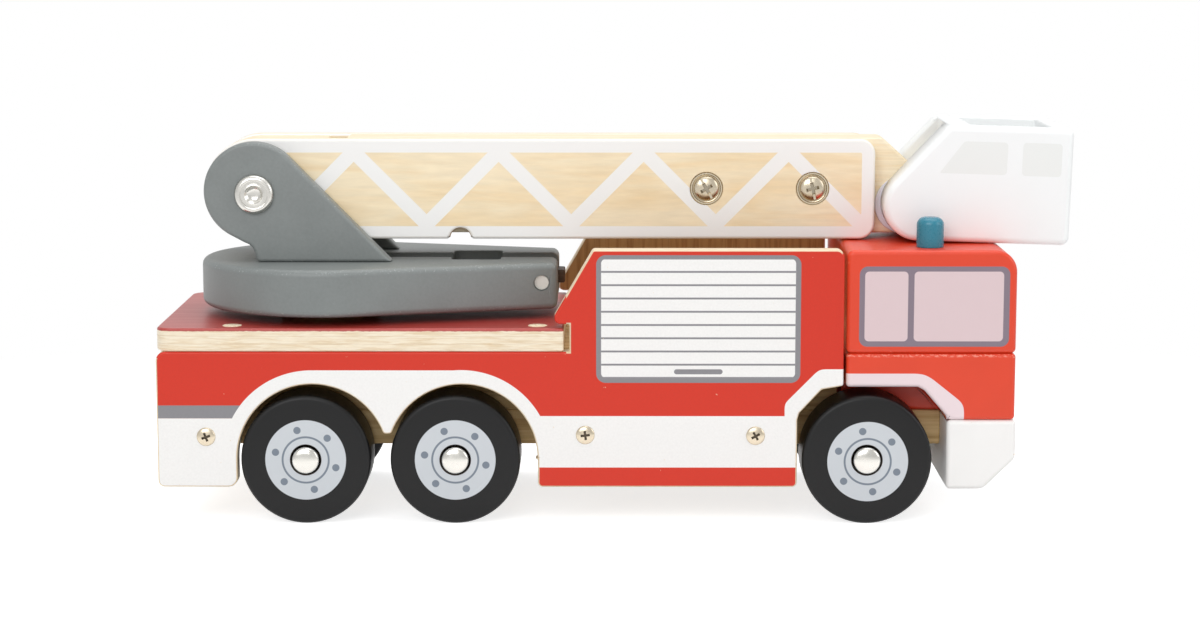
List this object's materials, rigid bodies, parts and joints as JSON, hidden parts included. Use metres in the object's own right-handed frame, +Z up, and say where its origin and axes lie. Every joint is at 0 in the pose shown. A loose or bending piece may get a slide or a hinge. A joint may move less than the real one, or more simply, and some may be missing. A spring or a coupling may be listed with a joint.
{
  "type": "wooden toy fire engine",
  "caption": "Wooden toy fire engine with a turning, rising and sliding ladder, a hanging rescue basket, a folding ladder prop and rolling wheels.",
  "frame": {"origin": "centre of the whole toy's footprint, on the floor under the wheels", "axes": "+X forwards, towards the cab and basket; +Y to the toy's left; +Z up"},
  "size_m": [0.2872, 0.0886, 0.1235],
  "materials": {
    "panel_ply": "plywood with a printed face",
    "deck_red": "red paint on plywood",
    "cab_red": "satin red paint on wood",
    "white_paint": "satin white paint on wood",
    "boom_white": "white print on plywood",
    "teal_paint": "satin teal paint on wood",
    "table_grey": "satin grey paint on wood",
    "ear_grey": "satin grey paint on wood",
    "black_paint": "satin black paint on wood",
    "pine": "bare pine",
    "beam_wood": "bare pale wood",
    "plug_wood": "bare beech",
    "dark_wood": "dark stained wood",
    "steel": "zinc-plated steel",
    "shim_plastic": "pale plastic washer"
  },
  "bodies": {
    "truck": {"side_panel_right": "panel_ply", "side_panel_left": "panel_ply", "deck": "deck_red", "chassis_board": "pine", "body_core": "pine", "axle_blocks": "pine", "axles": "steel", "axle_caps": "steel", "cab_upper": "cab_red", "cab_lower": "cab_red", "bumper": "white_paint", "beacon_right": "teal_paint", "beacon_left": "teal_paint", "panel_screws": "steel", "deck_plugs": "plug_wood", "turntable_washer": "pine", "swivel_bolt": "steel"},
    "turntable": {"turntable": "table_grey", "ear_right": "ear_grey", "ear_left": "ear_grey", "ladder_pivot_bolt": "steel", "prop_pin": "steel"},
    "prop": {"prop": "dark_wood"},
    "boom": {"boom_plate_right": "boom_white", "boom_plate_left": "boom_white", "boom_spacer": "beam_wood", "boom_bolts": "steel"},
    "ladder": {"ladder_beam": "beam_wood"},
    "basket": {"basket": "white_paint", "basket_shims": "shim_plastic", "basket_pin": "steel"},
    "wheel_rear_right": {"wheel_rear_right": "black_paint"},
    "wheel_rear_left": {"wheel_rear_left": "black_paint"},
    "wheel_middle_right": {"wheel_middle_right": "black_paint"},
    "wheel_middle_left": {"wheel_middle_left": "black_paint"},
    "wheel_front_right": {"wheel_front_right": "black_paint"},
    "wheel_front_left": {"wheel_front_left": "black_paint"}
  },
  "joints": [
    {"name": "turntable_swivel", "type": "hinge", "parent": "truck", "child": "turntable", "pos_m": [-0.09292, 0, 0.0644], "axis": [0, 0, 1], "continuous": true},
    {"name": "ladder_lift", "type": "hinge", "parent": "turntable", "child": "boom", "pos_m": [-0.11477, 0, 0.10135], "axis": [0, -1, 0], "range_deg": [0, 70]},
    {"name": "ladder_extend", "type": "slide", "parent": "boom", "child": "ladder", "axis": [1, 0, 0], "range_m": [0, 0.088]},
    {"name": "basket_tilt", "type": "hinge", "parent": "ladder", "child": "basket", "pos_m": [0.09158, 0, 0.097], "axis": [0, 1, 0], "range_deg": [0, 70]},
    {"name": "prop_swing", "type": "hinge", "parent": "turntable", "child": "prop", "pos_m": [-0.02402, 0, 0.0733], "axis": [0, 1, 0], "range_deg": [0, 63]},
    {"name": "wheel_rear_right_spin", "type": "hinge", "parent": "truck", "child": "wheel_rear_right", "pos_m": [-0.09732, -0.0333, 0.0203], "axis": [0, 1, 0], "continuous": true},
    {"name": "wheel_rear_left_spin", "type": "hinge", "parent": "truck", "child": "wheel_rear_left", "pos_m": [-0.09732, 0.0333, 0.0203], "axis": [0, 1, 0], "continuous": true},
    {"name": "wheel_middle_right_spin", "type": "hinge", "parent": "truck", "child": "wheel_middle_right", "pos_m": [-0.05062, -0.0333, 0.0203], "axis": [0, 1, 0], "continuous": true},
    {"name": "wheel_middle_left_spin", "type": "hinge", "parent": "truck", "child": "wheel_middle_left", "pos_m": [-0.05062, 0.0333, 0.0203], "axis": [0, 1, 0], "continuous": true},
    {"name": "wheel_front_right_spin", "type": "hinge", "parent": "truck", "child": "wheel_front_right", "pos_m": [0.07788, -0.0333, 0.0203], "axis": [0, 1, 0], "continuous": true},
    {"name": "wheel_front_left_spin", "type": "hinge", "parent": "truck", "child": "wheel_front_left", "pos_m": [0.07788, 0.0333, 0.0203], "axis": [0, 1, 0], "continuous": true}
  ],
  "couplings": [
    {"joint": "basket_tilt", "follows": "ladder_lift", "ratio": 1},
    {"joint": "prop_swing", "follows": "ladder_lift", "ratio": 0.9}
  ]
}
